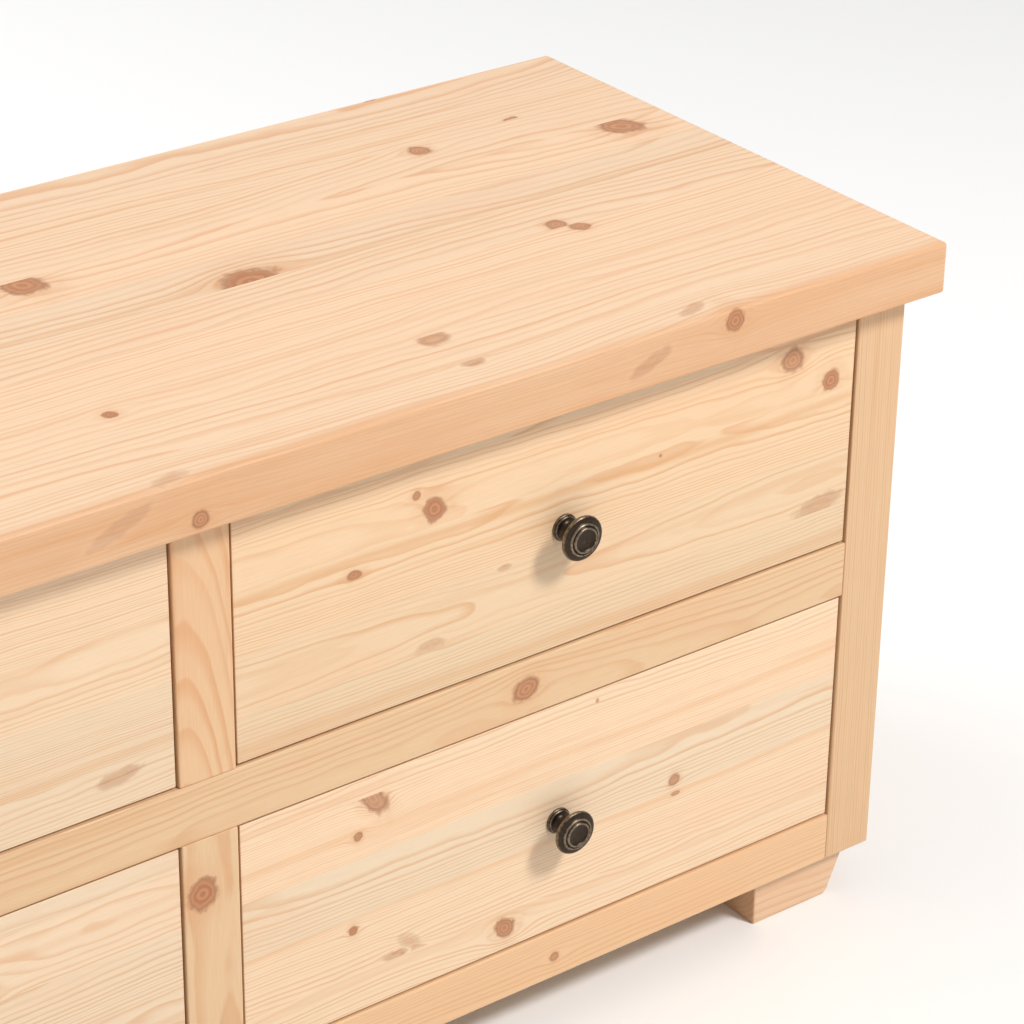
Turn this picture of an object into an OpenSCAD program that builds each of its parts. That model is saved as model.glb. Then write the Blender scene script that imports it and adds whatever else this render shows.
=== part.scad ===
// Solid pine dresser: a flush face frame on a boarded carcase, four inset drawers
// on wooden runners, a thick overhanging top and four block feet.
// +X is to the right, +Y runs to the back and +Z is up. The origin is on the
// floor, under the middle of the whole piece.

/* [Carcase] */
// Width across the outer edges of the end stiles
body_w = 1240; // [1000:5:1500]
// Depth from the front of the face frame to the back
body_d = 460; // [380:5:560]
// Height from the underside of the frame to the underside of the top
body_h = 488; // [400:2:600]
// Thickness of the solid ends
side_t = 18; // [15:0.5:22]
// Thickness of the upright board between the drawer columns
partition_t = 18; // [15:0.5:22]
// Thickness of the floor board
bottom_t = 18; // [15:0.5:22]
// Thickness of the back panel
back_t = 6; // [4:0.5:9]
// How far the back panel is let into each end
back_lap = 9; // [6:0.5:10]

/* [Top] */
// Thickness of the top
top_t = 40; // [30:1:50]
// Overhang of the top past the face frame
overhang_front = 20; // [10:1:35]
// Overhang of the top past each end
overhang_side = 20; // [10:1:35]
// Overhang of the top past the back
overhang_back = 6; // [4:1:20]
// Radius of the rounded upper arris
top_round = 6; // [2:0.5:10]
// Thickness of the flat rails under the top
top_rail_t = 20; // [16:1:24]
// Width of the flat rails under the top
top_rail_w = 70; // [50:5:90]

/* [Face frame] */
// Width of the two end stiles
stile_w = 45; // [35:1:60]
// Width of the short centre stiles
centre_stile_w = 45; // [35:1:60]
// Height of the middle rail
middle_rail_h = 46; // [35:1:60]
// Height of the bottom rail
bottom_rail_h = 42; // [35:1:60]
// Thickness of the frame
frame_t = 22; // [18:1:28]
// Diameter of the dowels in the frame joints
dowel_d = 8; // [6:1:10]
// Length of each dowel, half of it in each piece
dowel_l = 30; // [20:2:36]
// Distance from a dowel's axis to the edge of the narrower piece
dowel_inset = 12; // [9:0.5:15]

/* [Drawers] */
// How far the drawer fronts sit behind the face of the frame
drawer_recess = 1.5; // [0:0.5:8]
// Gap all round a drawer front
drawer_gap = 2; // [1:0.5:4]
// Thickness of the drawer fronts
front_t = 20; // [16:1:24]
// Thickness of the drawer sides and back
drawer_side_t = 12; // [10:0.5:15]
// Thickness of the drawer base
base_t = 5; // [4:0.5:8]
// Height of the base groove above the lower edge of the sides
groove_z = 9; // [7:1:15]
// Depth of the base groove
groove_d = 6; // [4:0.5:7]
// Slack of the base in its groove
groove_slack = 0.3; // [0.1:0.1:0.5]
// Gap between a drawer side and its guide
side_clearance = 1.5; // [1:0.5:4]
// Gap between a drawer side and its runner
slide_clearance = 0.5; // [0.3:0.1:1]
// Room above the drawer sides, under the flat top rails
head_room = 7.5; // [4:0.5:15]
// Room between the back of a drawer and the back panel
rear_room = 29; // [20:1:60]

/* [Runners, guides and stops] */
// Thickness of the upper runners
runner_t = 24; // [18:1:30]
// How far a runner reaches under the drawer side
runner_reach = 20; // [14:1:30]
// Height of the guides above the runners
guide_h = 20; // [12:1:30]
// Width and depth of a drawer stop
stop_w = 14; // [10:1:18]
// Height of a drawer stop
stop_h = 24; // [15:1:40]
// Gap between a closed drawer and its stops
stop_gap = 0.5; // [0.3:0.1:2]

/* [Knobs] */
// Diameter of the knob's head
knob_d = 35; // [28:1:42]
// How far the knob stands out from the drawer front
knob_out = 26; // [20:1:32]
// Diameter of the rosette against the drawer front
rosette_d = 21; // [16:1:24]
// Diameter of the narrow neck
neck_d = 9.5; // [8:0.5:12]
// How far each knob sits to the right of the middle of its drawer front
knob_shift = 3; // [-10:0.5:10]
// How far each knob sits below the middle of its drawer front
knob_drop = 2; // [-20:0.5:20]

/* [Feet] */
// Height of the feet
foot_h = 43; // [30:1:80]
// Length of a foot along the front, at its top
foot_l = 95; // [80:1:140]
// Depth of a foot, front to back
foot_d = 90; // [70:1:120]
// How far the foot's top is set in from the end of the carcase
foot_inset_side = 15; // [5:1:30]
// How far the foot is set in from the front, and from the back
foot_inset_front = 10; // [5:1:12]
// How much the outer end of the foot leans in over its height
foot_rake = 18; // [0:1:25]
// Radius of the foot's lower outer corner
foot_round = 6; // [2:0.5:8]

/* [Fasteners] */
// Shank diameter of the wood screws in the top and the feet
screw_d = 4; // [3:0.5:5]
// Head diameter of those screws
screw_head_d = 8; // [6:0.5:9]
// Depth of thread in the top or in the floor board
screw_bite = 15; // [10:1:16]
// Depth of the hole that hides a foot screw's head
foot_screw_sink = 15; // [10:1:20]
// Distance of the outermost top screws from the ends
top_screw_inset = 60; // [40:5:120]
// Shank diameter of the back panel's screws
back_screw_d = 3; // [2.5:0.5:3.5]
// Head diameter of the back panel's screws
back_screw_head_d = 6; // [5:0.5:7]
// Thread diameter of the knob screws
knob_screw_d = 4; // [3:0.5:5]
// Head diameter of the knob screws
knob_screw_head_d = 8; // [6:0.5:9]
// Depth of thread in the knob
knob_bite = 8; // [6:1:10]

/* [Hidden] */
PINE = [0.90, 0.74, 0.54];
PINE_PALE = [0.93, 0.80, 0.62];
PLY = [0.84, 0.72, 0.55];
BEECH = [0.80, 0.62, 0.44];
BRONZE = [0.24, 0.19, 0.15];
STEEL = [0.72, 0.72, 0.70];
FINE = 64;
COLUMNS = [["left", -1], ["right", 1]];
ROWS = [["lower", 0], ["upper", 1]];
ENDS = [["outer", 1], ["inner", -1]];
DRAWER_PIECES = ["front", "side_left", "side_right", "back", "base", "knob", "knob_screw"];
ROOT_PIECES = [
    "top_panel", "stile_left", "stile_right", "centre_stile_upper", "centre_stile_lower",
    "middle_rail", "bottom_rail", "frame_dowels", "side_panel_left", "side_panel_right",
    "partition", "bottom_board", "back_panel", "top_rail_front", "top_rail_back",
    "top_screws", "back_screws", "drawer_guides", "drawer_stops", "foot_screws"
];
RUNNERS = [for (r = ROWS) for (c = COLUMNS) for (e = ENDS) str("runner_", r[0], "_", c[0], "_", e[0])];
FEET = [for (y = ["front", "back"]) for (c = COLUMNS) str("foot_", y, "_", c[0])];
DRAWERS = [for (r = ROWS) for (c = COLUMNS) for (p = DRAWER_PIECES) str(r[0], "_", c[0], "_", p)];

// Levels, from the floor up
frame_z = foot_h;
floor_z = frame_z + bottom_t;
under_top = frame_z + body_h;
open_h = (body_h - bottom_rail_h - middle_rail_h) / 2;
open_z = [frame_z + bottom_rail_h, frame_z + bottom_rail_h + open_h + middle_rail_h];
middle_rail_z = open_z[0] + open_h;

// Fronts and backs: the front of the whole piece is the top's edge or the knobs
front_reach = max(overhang_front, knob_out - drawer_recess);
face_y = (front_reach - body_d - overhang_back) / 2;
frame_back_y = face_y + frame_t;
back_y = face_y + body_d;
inner_back_y = back_y - back_t;
front_back_y = face_y + drawer_recess + front_t;
drawer_back_y = inner_back_y - rear_room;

// Widths
half_w = body_w / 2;
side_x = half_w - side_t;
open_w = (body_w - 2 * stile_w - centre_stile_w) / 2;
open_x = (centre_stile_w + open_w) / 2;
box_w = open_w - 2 * side_clearance;
inner_w = box_w - 2 * drawer_side_t;
box_h = open_h - top_rail_t - head_room;
front_w = open_w - 2 * drawer_gap;
front_h = open_h - 2 * drawer_gap;
knob_z = open_h / 2 - knob_drop;
base_z = slide_clearance + groove_z;

// Sizes of the screws, from what they pass through
knob_head_t = 2.4;
knob_head_sink = 3;
knob_shank = front_t - knob_head_sink + knob_bite;
back_screw_l = 16;
back_head_t = 2;
hole_slack = 0.5;
top_rail_front_y = max(frame_back_y, front_back_y + stop_gap);
top_rail_back_y = inner_back_y - top_rail_w;
top_screw_x = [-side_x + top_screw_inset, -top_screw_inset, top_screw_inset, side_x - top_screw_inset];
top_screw_y = [top_rail_front_y + top_rail_w / 2, top_rail_back_y + top_rail_w / 2];
foot_screw_at = [[26, 34], [56, 62]];
back_screw_z = [frame_z + bottom_t / 2, frame_z + body_h / 2, under_top - top_rail_t / 2];
back_screw_x = [-side_x - back_lap / 2, -open_x, 0, open_x, side_x + back_lap / 2];

// A board given by its lowest and highest corners
module board(low, high) {
    translate(low)
        cube(high - low);
}

// Whatever is made for the right half, there for side 1 or mirrored to the left half for -1
module sided(side) {
    scale([side, 1, 1])
        children();
}

// Section of the top: square below, a quarter round on each upper corner
module top_section(length) {
    square([length, top_t - top_round]);
    translate([top_round, 0])
        square([length - 2 * top_round, top_t]);
    for (x = [top_round, length - top_round])
        translate([x, top_t - top_round])
            circle(r = top_round, $fn = FINE);
}

module top_panel() {
    length = body_w + 2 * overhang_side;
    depth = body_d + overhang_front + overhang_back;
    low = [-length / 2, face_y - overhang_front, under_top];
    color(PINE_PALE)
        difference() {
            translate(low)
                intersection() {
                    translate([0, depth, 0])
                        rotate([90, 0, 0])
                            linear_extrude(depth)
                                top_section(length);
                    rotate([90, 0, 90])
                        linear_extrude(length)
                            top_section(depth);
                }
            top_screw_holes(screw_d, screw_bite);
        }
}

// Holes for the top screws: up from the underside of the top
module top_screw_holes(d, depth) {
    for (x = top_screw_x, y = top_screw_y)
        translate([x, y, under_top - 1])
            cylinder(d = d, h = depth + 1, $fn = FINE);
}

// Every dowel of the frame: a point on its mid length and its side to side direction
function dowel_heights(z, h) = [z + dowel_inset, z + h - dowel_inset];
rail_dowels = [
    for (side = [-1, 1], z = concat(dowel_heights(frame_z, bottom_rail_h),
        dowel_heights(middle_rail_z, middle_rail_h)))
        [side * (half_w - stile_w), z]
];
stile_dowels = [
    for (side = [-1, 1], z = [open_z[0], middle_rail_z, open_z[1]])
        [side * (centre_stile_w / 2 - dowel_inset), z]
];

module dowels() {
    y = face_y + frame_t / 2;
    for (p = rail_dowels)
        translate([p[0] - dowel_l / 2, y, p[1]])
            rotate([0, 90, 0])
                cylinder(d = dowel_d, h = dowel_l, $fn = FINE);
    for (p = stile_dowels)
        translate([p[0], y, p[1] - dowel_l / 2])
            cylinder(d = dowel_d, h = dowel_l, $fn = FINE);
}

module frame_dowels() {
    color(BEECH)
        dowels();
}

// One straight member of the face frame, bored for its dowels
module frame_member(low_x, high_x, low_z, high_z) {
    color(PINE)
        difference() {
            board([low_x, face_y, low_z], [high_x, frame_back_y, high_z]);
            dowels();
        }
}

module stile_right() {
    frame_member(half_w - stile_w, half_w, frame_z, under_top);
}

module stile_left() {
    frame_member(-half_w, -half_w + stile_w, frame_z, under_top);
}

module middle_rail() {
    frame_member(stile_w - half_w, half_w - stile_w, middle_rail_z, open_z[1]);
}

module bottom_rail() {
    frame_member(stile_w - half_w, half_w - stile_w, frame_z, open_z[0]);
}

module centre_stile_upper() {
    frame_member(-centre_stile_w / 2, centre_stile_w / 2, open_z[1], under_top);
}

module centre_stile_lower() {
    frame_member(-centre_stile_w / 2, centre_stile_w / 2, open_z[0], middle_rail_z);
}

// Holes for the back panel's screws, forward from the back
module back_screw_holes(d, depth) {
    for (p = back_screw_places())
        translate([p[0], back_y + 1, p[1]])
            rotate([90, 0, 0])
                cylinder(d = d, h = depth + 1, $fn = FINE);
}

function back_screw_places() = [for (x = back_screw_x, z = back_screw_z) if (x_has_wood(x, z)) [x, z]];
// Between the ends and the partition only the floor board and the top rail are behind the panel
function x_has_wood(x, z) = abs(x) != open_x || z != back_screw_z[1];

// A solid end, rebated on its inner back corner for the back panel
module side_panel(side) {
    color(PINE)
        difference() {
            sided(side)
                board([side_x, frame_back_y, frame_z], [half_w, back_y, under_top]);
            sided(side)
                board([side_x - 1, inner_back_y, frame_z - 1], [side_x + back_lap, back_y + 1, under_top + 1]);
            back_screw_holes(back_screw_d, back_screw_l);
        }
}

module partition() {
    color(PINE)
        difference() {
            board([-partition_t / 2, frame_back_y, floor_z],
                [partition_t / 2, inner_back_y, under_top - top_rail_t]);
            back_screw_holes(back_screw_d, back_screw_l);
        }
}

module bottom_board() {
    color(PINE)
        difference() {
            board([-side_x, frame_back_y, frame_z], [side_x, inner_back_y, floor_z]);
            back_screw_holes(back_screw_d, back_screw_l);
            foot_screw_holes(screw_d, foot_h + screw_bite);
        }
}

module back_panel() {
    color(PLY)
        difference() {
            board([-side_x - back_lap, inner_back_y, frame_z], [side_x + back_lap, back_y, under_top]);
            back_screw_holes(back_screw_d, back_t + 1);
        }
}

// A flat rail under the top, countersunk from below for the top screws
module top_rail(y) {
    color(PINE)
        difference() {
            board([-side_x, y, under_top - top_rail_t], [side_x, y + top_rail_w, under_top]);
            back_screw_holes(back_screw_d, back_screw_l);
            for (x = top_screw_x)
                translate([x, y + top_rail_w / 2, under_top - top_rail_t])
                    countersunk(screw_d, screw_head_d, top_rail_t + 1);
        }
}

module top_rail_front() {
    top_rail(top_rail_front_y);
}

module top_rail_back() {
    top_rail(top_rail_back_y);
}

// A countersunk screw standing on its head, or the hole for it
module countersunk(d, head_d, length) {
    cone = (head_d - d) / 2;
    cylinder(d = d, h = length, $fn = FINE);
    cylinder(d1 = head_d, d2 = d, h = cone, $fn = FINE);
}

module top_screws() {
    color(STEEL)
        for (x = top_screw_x, y = top_screw_y)
            translate([x, y, under_top - top_rail_t])
                countersunk(screw_d, screw_head_d, top_rail_t + screw_bite);
}

module back_screws() {
    color(STEEL)
        for (p = back_screw_places())
            translate([p[0], back_y, p[1]])
                rotate([90, 0, 0]) {
                    cylinder(d = back_screw_d, h = back_screw_l, $fn = FINE);
                    translate([0, 0, -back_head_t])
                        cylinder(d = back_screw_head_d, h = back_head_t, $fn = FINE);
                }
}

// Runner: from the board beside the column to under the drawer side
function runner_x(end) = end > 0
    ? [half_w - stile_w - runner_reach, side_x]
    : [partition_t / 2, centre_stile_w / 2 + runner_reach];
function runner_height(row) = row == 0 ? bottom_rail_h - bottom_t : runner_t;

module runner(row, side, end) {
    x = runner_x(end);
    color(PINE)
        sided(side)
            board([x[0], frame_back_y, open_z[row] - runner_height(row)], [x[1], inner_back_y, open_z[row]]);
}

// Guide: fills the space beside the drawer, flush with the edge of the opening
function guide_x(end) = end > 0
    ? [half_w - stile_w, side_x]
    : [partition_t / 2, centre_stile_w / 2];

module drawer_guides() {
    color(PINE)
        for (row = [0, 1], side = [-1, 1], end = [-1, 1])
            sided(side)
                board([guide_x(end)[0], frame_back_y, open_z[row]],
                    [guide_x(end)[1], inner_back_y, open_z[row] + guide_h]);
}

// Stop: stands on the runner, behind the drawer side
module drawer_stops() {
    y = drawer_back_y + stop_gap;
    color(BEECH)
        for (row = [0, 1], side = [-1, 1], end = [-1, 1])
            translate([side * (open_x + end * (open_w - stop_w) / 2), y, open_z[row]])
                board([-stop_w / 2, 0, 0], [stop_w / 2, stop_w, stop_h]);
}

// Outline of a foot from the front: upright inner end, raked outer end, rounded heel
module foot_outline() {
    turn = 90 + atan(foot_rake / foot_h);
    reach = foot_round / tan(turn / 2);
    heel = foot_l - foot_rake;
    difference() {
        polygon([[0, 0], [heel, 0], [foot_l, foot_h], [0, foot_h]]);
        difference() {
            translate([heel - reach, -1])
                square([foot_rake, 1 + reach * cos(turn - 90)]);
            translate([heel - reach, foot_round])
                circle(r = foot_round, $fn = FINE);
        }
    }
}

module foot(side, y) {
    color(PINE)
        difference() {
            sided(side)
                translate([half_w - foot_inset_side - foot_l, y + foot_d, 0])
                    rotate([90, 0, 0])
                        linear_extrude(foot_d)
                            foot_outline();
            foot_screw_holes(screw_d, foot_h + 1);
            foot_screw_holes(screw_head_d, foot_screw_sink);
        }
}

foot_y = [face_y + foot_inset_front, back_y - foot_inset_front - foot_d];

// Places of the foot screws, from the inner end and the edge of each foot nearest the middle
function foot_screw_places() = [
    for (side = [-1, 1], row = [0, 1], at = foot_screw_at)
        [side * (half_w - foot_inset_side - foot_l + at[0]),
            row == 0 ? foot_y[0] + at[1] : foot_y[1] + foot_d - at[1]]
];

module foot_screw_holes(d, height) {
    for (p = foot_screw_places())
        translate([p[0], p[1], -1])
            cylinder(d = d, h = height + 1, $fn = FINE);
}

module foot_screws() {
    head_t = 3;
    color(STEEL)
        for (p = foot_screw_places())
            translate([p[0], p[1], foot_screw_sink - head_t]) {
                cylinder(d = screw_head_d, h = head_t, $fn = FINE);
                cylinder(d = screw_d, h = foot_h + screw_bite - foot_screw_sink + head_t, $fn = FINE);
            }
}

// Moves a piece from its opening to its column and row
module in_opening(side, row) {
    translate([side * open_x, face_y, open_z[row]])
        children();
}

// The groove that runs round the inside of the drawer for its base
module base_groove() {
    board([-inner_w / 2 - groove_d, drawer_recess + front_t - groove_d, base_z],
        [inner_w / 2 + groove_d, drawer_back_y - face_y + 1, base_z + base_t + groove_slack]);
}

module drawer_front() {
    color(PINE_PALE)
        difference() {
            board([-front_w / 2, drawer_recess, drawer_gap],
                [front_w / 2, drawer_recess + front_t, drawer_gap + front_h]);
            base_groove();
            translate([knob_shift, drawer_recess + front_t + 1, knob_z])
                rotate([90, 0, 0]) {
                    cylinder(d = knob_screw_d + hole_slack, h = front_t + 2, $fn = FINE);
                    cylinder(d = knob_screw_head_d + hole_slack, h = knob_head_sink + 1, $fn = FINE);
                }
        }
}

module drawer_side(hand) {
    color(PINE)
        difference() {
            sided(hand)
                board([inner_w / 2, drawer_recess + front_t, slide_clearance],
                    [box_w / 2, drawer_back_y - face_y, box_h + slide_clearance]);
            base_groove();
        }
}

// The back stands on the base, between the sides
module drawer_back() {
    y = drawer_back_y - face_y;
    color(PINE)
        board([-inner_w / 2, y - drawer_side_t, base_z + base_t], [inner_w / 2, y, box_h + slide_clearance]);
}

module drawer_base() {
    half = inner_w / 2 + groove_d - groove_slack;
    color(PLY)
        board([-half, drawer_recess + front_t - groove_d + groove_slack, base_z],
            [half, drawer_back_y - face_y, base_z + base_t]);
}

// Profile of the knob, as radius and distance from the drawer front: rosette, neck, head
function knob_profile() = let (r = knob_d / 2, s = rosette_d / 2, n = neck_d / 2, t = knob_out) [
    [0, 0], [s, 0], [s, 1.6], [s - 0.5, 2.4], [s - 1.4, 2.9], [s - 2.6, 3.4], [n + 1.2, 5],
    [n + 0.3, 6.5], [n, 9], [n + 0.4, t - 15], [n + 1.8, t - 13], [r - 3.6, t - 9],
    [r - 0.7, t - 7], [r, t - 5.6], [r - 0.4, t - 4.4], [r - 1.6, t - 3.4], [r - 4.6, t - 2.6],
    [r - 5, t - 1.2], [r - 5.9, t - 0.8], [r - 6.8, t - 1.5], [r - 7.2, t - 0.4], [r - 7.8, t],
    [r - 8.6, t - 0.4], [r - 9.2, t - 1.2], [r - 13, t - 1.9], [0, t - 2.1]
];

module knob() {
    color(BRONZE)
        translate([knob_shift, drawer_recess, knob_z])
            rotate([90, 0, 0])
                difference() {
                    rotate_extrude($fn = FINE)
                        polygon(knob_profile());
                    translate([0, 0, -1])
                        cylinder(d = knob_screw_d, h = knob_bite + 1, $fn = FINE);
                }
}

module knob_screw() {
    color(STEEL)
        translate([knob_shift, drawer_recess + front_t - knob_head_sink, knob_z])
            rotate([90, 0, 0]) {
                cylinder(d = knob_screw_d, h = knob_shank, $fn = FINE);
                translate([0, 0, -knob_head_t])
                    cylinder(d = knob_screw_head_d, h = knob_head_t, $fn = FINE);
            }
}

top_panel();
stile_left();
stile_right();
centre_stile_upper();
centre_stile_lower();
middle_rail();
bottom_rail();
frame_dowels();
side_panel(-1);  // side_panel_left
side_panel(1);  // side_panel_right
partition();
bottom_board();
back_panel();
top_rail_front();
top_rail_back();
top_screws();
back_screws();
drawer_guides();
drawer_stops();
foot_screws();
for (c = COLUMNS) {
    foot(c[1], foot_y[0]);
    foot(c[1], foot_y[1]);
    for (r = ROWS) {
        name = str(r[0], "_", c[0]);
        runner(r[1], c[1], 1);
        runner(r[1], c[1], -1);
        in_opening(c[1], r[1]) {
            drawer_front();
            drawer_side(-1);
            drawer_side(1);
            drawer_back();
            drawer_base();
            knob();
            knob_screw();
        }
    }
}
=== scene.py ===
import math
import random

import bmesh
import bpy
from mathutils import Matrix, Vector


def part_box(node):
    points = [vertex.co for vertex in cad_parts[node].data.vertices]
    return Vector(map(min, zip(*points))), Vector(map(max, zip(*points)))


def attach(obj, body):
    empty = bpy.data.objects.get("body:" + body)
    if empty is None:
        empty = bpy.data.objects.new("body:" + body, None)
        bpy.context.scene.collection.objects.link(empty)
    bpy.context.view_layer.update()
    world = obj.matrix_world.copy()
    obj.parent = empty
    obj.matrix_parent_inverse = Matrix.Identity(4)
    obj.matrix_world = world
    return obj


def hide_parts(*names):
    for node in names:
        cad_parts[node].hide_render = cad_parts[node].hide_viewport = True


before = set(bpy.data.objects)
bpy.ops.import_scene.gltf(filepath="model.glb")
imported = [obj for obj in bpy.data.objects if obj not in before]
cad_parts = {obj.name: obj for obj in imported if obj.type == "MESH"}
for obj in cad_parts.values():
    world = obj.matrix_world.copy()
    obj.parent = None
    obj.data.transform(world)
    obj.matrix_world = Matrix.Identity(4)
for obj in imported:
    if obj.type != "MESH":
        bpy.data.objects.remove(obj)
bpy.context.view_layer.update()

MM = 0.001


# ---------------------------------------------------------------- camera
# Stands at the front left of the dresser, above it, with a long lens, and looks
# down and to the right at the right half of the front. Placed from the floor
# under the front right corner of the face frame.

frame_corner = Vector((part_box("stile_right")[1].x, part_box("stile_right")[0].y, 0))
camera_place = frame_corner + Vector((-1.6475, -1.6799, 1.5699))
camera_heading = math.radians(37.34)
camera_tilt = math.radians(-27.79)
camera_roll = math.radians(0.78)

ahead = Vector((
    math.sin(camera_heading) * math.cos(camera_tilt),
    math.cos(camera_heading) * math.cos(camera_tilt),
    math.sin(camera_tilt),
))
level = ahead.cross(Vector((0, 0, 1))).normalized()
upright = level.cross(ahead)
camera_right = level * math.cos(camera_roll) + upright * math.sin(camera_roll)
camera_up = upright * math.cos(camera_roll) - level * math.sin(camera_roll)

camera = bpy.data.objects.new("camera", bpy.data.cameras.new("camera"))
camera.data.sensor_width = 36
camera.data.lens = 120.6
camera.data.clip_end = 100
camera.matrix_world = Matrix.Translation(camera_place) @ Matrix(
    (camera_right, camera_up, -ahead)).transposed().to_4x4()
bpy.context.scene.collection.objects.link(camera)
bpy.context.scene.camera = camera
bpy.context.scene.view_settings.view_transform = "Standard"


# ---------------------------------------------------------------- studio
# A plain pale floor and a white room light all round, with a soft key lamp high
# at the front right, a faint one overhead and one that brightens the floor behind.

def soft_lamp(name, place, aim, width, height, power, colour):
    lamp = bpy.data.lights.new(name, "AREA")
    lamp.shape = "RECTANGLE"
    lamp.size = width
    lamp.size_y = height
    lamp.energy = power
    lamp.color = colour
    holder = bpy.data.objects.new(name, lamp)
    holder.location = place
    holder.rotation_euler = (Vector(aim) - Vector(place)).to_track_quat("-Z", "Y").to_euler()
    bpy.context.scene.collection.objects.link(holder)


soft_lamp("key_lamp", (1.75, -3.2, 4.05), (0.2, -0.1, 0.3), 1.0, 1.0, 190, (1.0, 0.99, 0.98))
soft_lamp("overhead_lamp", (-1.0, 0.6, 3.4), (0, 0, 0.4), 2.6, 2.0, 16, (1.0, 1.0, 1.0))
soft_lamp("backdrop_lamp", (-2.6, 3.4, 3.0), (-2.2, 3.8, 0), 3.0, 3.0, 190, (1.0, 1.0, 1.0))

room = bpy.data.worlds.new("room")
room.use_nodes = True
room.node_tree.nodes["Background"].inputs["Color"].default_value = (1.0, 0.995, 0.99, 1)
room.node_tree.nodes["Background"].inputs["Strength"].default_value = 0.47
bpy.context.scene.world = room

floor_reach = 14
floor_tone = (0.90, 0.90, 0.90, 1)
floor_mesh = bpy.data.meshes.new("studio_floor")
floor_mesh.from_pydata(
    [(x * floor_reach, y * floor_reach, 0) for x, y in ((-1, -1), (1, -1), (1, 1), (-1, 1))],
    [], [(0, 1, 2, 3)])
floor = bpy.data.objects.new("studio_floor", floor_mesh)
bpy.context.scene.collection.objects.link(floor)
floor_paint = bpy.data.materials.new("floor_paint")
floor_paint.use_nodes = True
floor_paint.node_tree.nodes["Principled BSDF"].inputs["Base Color"].default_value = floor_tone
floor_paint.node_tree.nodes["Principled BSDF"].inputs["Roughness"].default_value = 0.7
floor_mesh.materials.append(floor_paint)


# ---------------------------------------------------------------- top
# A 40 mm panel edge-glued from narrow pine staves that all run the length of the
# piece, planed flat, sanded and waxed. Its upper arris is rounded by hand, the
# upright corners and the lower edge are only eased. Screwed on from below.

def node(tree, kind, *values, **settings):
    """Adds a node, sets or links its inputs in order, and returns its first output."""
    made = tree.nodes.new(kind)
    for setting, value in settings.items():
        setattr(made, setting, value)
    for socket, value in zip(made.inputs, values):
        if isinstance(value, bpy.types.NodeSocket):
            tree.links.new(value, socket)
        elif value is not None:
            socket.default_value = value
    return made.outputs[0]


def calc(tree, operation, *values):
    return node(tree, "ShaderNodeMath", *values, operation=operation)


def vector(tree, operation, *values):
    return node(tree, "ShaderNodeVectorMath", *values, operation=operation)


def dot(tree, a, b):
    return vector(tree, "DOT_PRODUCT", a, b).node.outputs["Value"]


def scaled(tree, a, factor):
    made = vector(tree, "SCALE", a)
    if isinstance(factor, bpy.types.NodeSocket):
        tree.links.new(factor, made.node.inputs["Scale"])
    else:
        made.node.inputs["Scale"].default_value = factor
    return made


def ramp(tree, value, start, end, low=0.0, high=1.0):
    """A smooth step of value from low at start to high at end."""
    return node(tree, "ShaderNodeMapRange", value, start, end, low, high,
                interpolation_type="SMOOTHSTEP")


def noise(tree, place, detail=2.0, roughness=0.5):
    return node(tree, "ShaderNodeTexNoise", place, None, 1.0, detail, roughness)


def blend(tree, amount, a, b, mode="MIX"):
    made = tree.nodes.new("ShaderNodeMix")
    made.data_type = "RGBA"
    made.blend_type = mode
    made.clamp_factor = True
    for name, value in (("Factor_Float", amount), ("A_Color", a), ("B_Color", b)):
        socket = next(s for s in made.inputs if s.identifier == name)
        if isinstance(value, bpy.types.NodeSocket):
            tree.links.new(value, socket)
        else:
            socket.default_value = value
    return next(s for s in made.outputs if s.identifier == "Result_Color")


def group_tree(name, inputs, outputs):
    """An empty shader group with those sockets; returns it and its input sockets by name."""
    tree = bpy.data.node_groups.new(name, "ShaderNodeTree")
    for label, kind in inputs:
        tree.interface.new_socket(label, in_out="INPUT", socket_type=kind)
    for label, kind in outputs:
        tree.interface.new_socket(label, in_out="OUTPUT", socket_type=kind)
    entry = tree.nodes.new("NodeGroupInput")
    leave = tree.nodes.new("NodeGroupOutput")
    return tree, {s.name: s for s in entry.outputs}, {s.name: s for s in leave.inputs}


def use_group(tree, group, values):
    made = tree.nodes.new("ShaderNodeGroup")
    made.node_tree = group
    for label, value in values.items():
        if isinstance(value, bpy.types.NodeSocket):
            tree.links.new(value, made.inputs[label])
        else:
            made.inputs[label].default_value = value
    return {s.name: s for s in made.outputs}


FLOAT, VECTOR, COLOUR = "NodeSocketFloat", "NodeSocketVector", "NodeSocketColor"


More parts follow.
